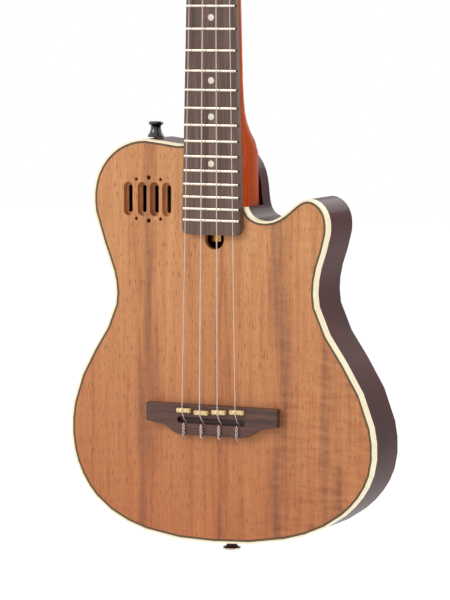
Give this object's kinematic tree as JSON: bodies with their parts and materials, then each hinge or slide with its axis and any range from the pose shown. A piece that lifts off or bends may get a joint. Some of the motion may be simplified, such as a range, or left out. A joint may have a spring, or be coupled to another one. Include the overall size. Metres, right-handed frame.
{
  "type": "tenor ukulele",
  "caption": "Chambered solid-body tenor ukulele with one cutaway, sound slots, fretted neck, tied nylon strings, geared tuners, preamp and jack.",
  "frame": {"origin": "on the nut line, at the centre of the neck's glue face, which is level with the face of the top", "axes": "+Z along the neck towards the head, -Y out of the face towards the viewer, +X to the treble side with the cutaway"},
  "size_m": [0.2546, 0.0643, 0.6953],
  "materials": {
    "stained_wood": "gloss lacquer over a dark burgundy stain",
    "top_wood": "satin",
    "neck_wood": "gloss lacquer",
    "rosewood": "oiled",
    "cream_binding": "polished",
    "purfling": "satin",
    "bone": "polished bone",
    "fret_metal": "polished",
    "nickel": "nickel plate",
    "brass": "turned",
    "black_metal": "gloss black",
    "black_plastic": "moulded",
    "nylon": "clear nylon",
    "button_plastic": "polished"
  },
  "bodies": {
    "instrument": {"body": "stained_wood", "soundboard": "top_wood", "binding": "cream_binding", "purfling": "purfling", "neck": "neck_wood", "fingerboard": "rosewood", "nut": "bone", "truss_rod": "nickel", "fret_01": "fret_metal", "fret_02": "fret_metal", "fret_03": "fret_metal", "fret_04": "fret_metal", "fret_05": "fret_metal", "fret_06": "fret_metal", "fret_07": "fret_metal", "fret_08": "fret_metal", "fret_09": "fret_metal", "fret_10": "fret_metal", "fret_11": "fret_metal", "fret_12": "fret_metal", "fret_13": "fret_metal", "fret_14": "fret_metal", "fret_15": "fret_metal", "fret_16": "fret_metal", "fret_17": "fret_metal", "fret_18": "fret_metal", "fret_19": "fret_metal", "bridge": "rosewood", "saddle_1": "bone", "saddle_2": "bone", "saddle_3": "bone", "saddle_4": "bone", "string_1": "nylon", "string_2": "nylon", "string_3": "nylon", "string_4": "nylon", "tuner_plate_1": "nickel", "tuner_plate_2": "nickel", "tuner_plate_3": "nickel", "tuner_plate_4": "nickel", "strap_button_shoulder": "black_metal", "strap_button_end": "nickel", "output_jack": "nickel", "preamp_case": "black_plastic", "battery": "black_metal", "neck_bolt_1": "nickel", "neck_bolt_2": "nickel"},
    "truss_rod_nut": {"truss_rod_nut": "brass"},
    "tuner_button_1": {"tuner_button_1": "button_plastic"},
    "tuner_button_2": {"tuner_button_2": "button_plastic"},
    "tuner_button_3": {"tuner_button_3": "button_plastic"},
    "tuner_button_4": {"tuner_button_4": "button_plastic"},
    "tuner_post_1": {"tuner_post_1": "nickel"},
    "tuner_post_2": {"tuner_post_2": "nickel"},
    "tuner_post_3": {"tuner_post_3": "nickel"},
    "tuner_post_4": {"tuner_post_4": "nickel"},
    "preamp_knob_volume": {"preamp_knob_volume": "black_plastic"},
    "preamp_knob_bass": {"preamp_knob_bass": "black_plastic"},
    "preamp_knob_treble": {"preamp_knob_treble": "black_plastic"},
    "battery_door": {"battery_door": "black_plastic"}
  },
  "joints": [
    {"name": "tuner_button_1_turn", "type": "hinge", "parent": "instrument", "child": "tuner_button_1", "pos_m": [-0.0185, 0.02632, 0.04689], "axis": [-1, 0, 0], "continuous": true},
    {"name": "tuner_button_2_turn", "type": "hinge", "parent": "instrument", "child": "tuner_button_2", "pos_m": [-0.0185, 0.03589, 0.09188], "axis": [-1, 0, 0], "continuous": true},
    {"name": "tuner_button_3_turn", "type": "hinge", "parent": "instrument", "child": "tuner_button_3", "pos_m": [0.0185, 0.02632, 0.04689], "axis": [1, 0, 0], "continuous": true},
    {"name": "tuner_button_4_turn", "type": "hinge", "parent": "instrument", "child": "tuner_button_4", "pos_m": [0.0185, 0.03589, 0.09188], "axis": [1, 0, 0], "continuous": true},
    {"name": "tuner_post_1_turn", "type": "hinge", "parent": "instrument", "child": "tuner_post_1", "pos_m": [-0.0185, 0.01123, 0.05812], "axis": [0, -0.9781, 0.2079], "continuous": true},
    {"name": "tuner_post_2_turn", "type": "hinge", "parent": "instrument", "child": "tuner_post_2", "pos_m": [-0.0185, 0.02079, 0.10311], "axis": [0, -0.9781, 0.2079], "continuous": true},
    {"name": "tuner_post_3_turn", "type": "hinge", "parent": "instrument", "child": "tuner_post_3", "pos_m": [0.0185, 0.01123, 0.05812], "axis": [0, -0.9781, 0.2079], "continuous": true},
    {"name": "tuner_post_4_turn", "type": "hinge", "parent": "instrument", "child": "tuner_post_4", "pos_m": [0.0185, 0.02079, 0.10311], "axis": [0, -0.9781, 0.2079], "continuous": true},
    {"name": "truss_rod_nut_turn", "type": "hinge", "parent": "instrument", "child": "truss_rod_nut", "pos_m": [0, 0.006, -0.2926], "axis": [0, 0, 1], "range_deg": [-180, 180]},
    {"name": "volume_turn", "type": "hinge", "parent": "instrument", "child": "preamp_knob_volume", "pos_m": [-0.09664, 0.0265, -0.30013], "axis": [-0.9452, 0, -0.3265], "range_deg": [-135, 135]},
    {"name": "bass_turn", "type": "hinge", "parent": "instrument", "child": "preamp_knob_bass", "pos_m": [-0.09288, 0.0265, -0.311], "axis": [-0.9452, 0, -0.3265], "range_deg": [-135, 135]},
    {"name": "treble_turn", "type": "hinge", "parent": "instrument", "child": "preamp_knob_treble", "pos_m": [-0.08913, 0.0265, -0.32187], "axis": [-0.9452, 0, -0.3265], "range_deg": [-135, 135]},
    {"name": "battery_door_open", "type": "hinge", "parent": "instrument", "child": "battery_door", "pos_m": [0, 0.0518, -0.4868], "axis": [-1, 0, 0], "range_deg": [0, 95]}
  ],
  "couplings": [
    {"joint": "tuner_post_1_turn", "follows": "tuner_button_1_turn", "ratio": -0.071429},
    {"joint": "tuner_post_2_turn", "follows": "tuner_button_2_turn", "ratio": -0.071429},
    {"joint": "tuner_post_3_turn", "follows": "tuner_button_3_turn", "ratio": -0.071429},
    {"joint": "tuner_post_4_turn", "follows": "tuner_button_4_turn", "ratio": -0.071429}
  ]
}
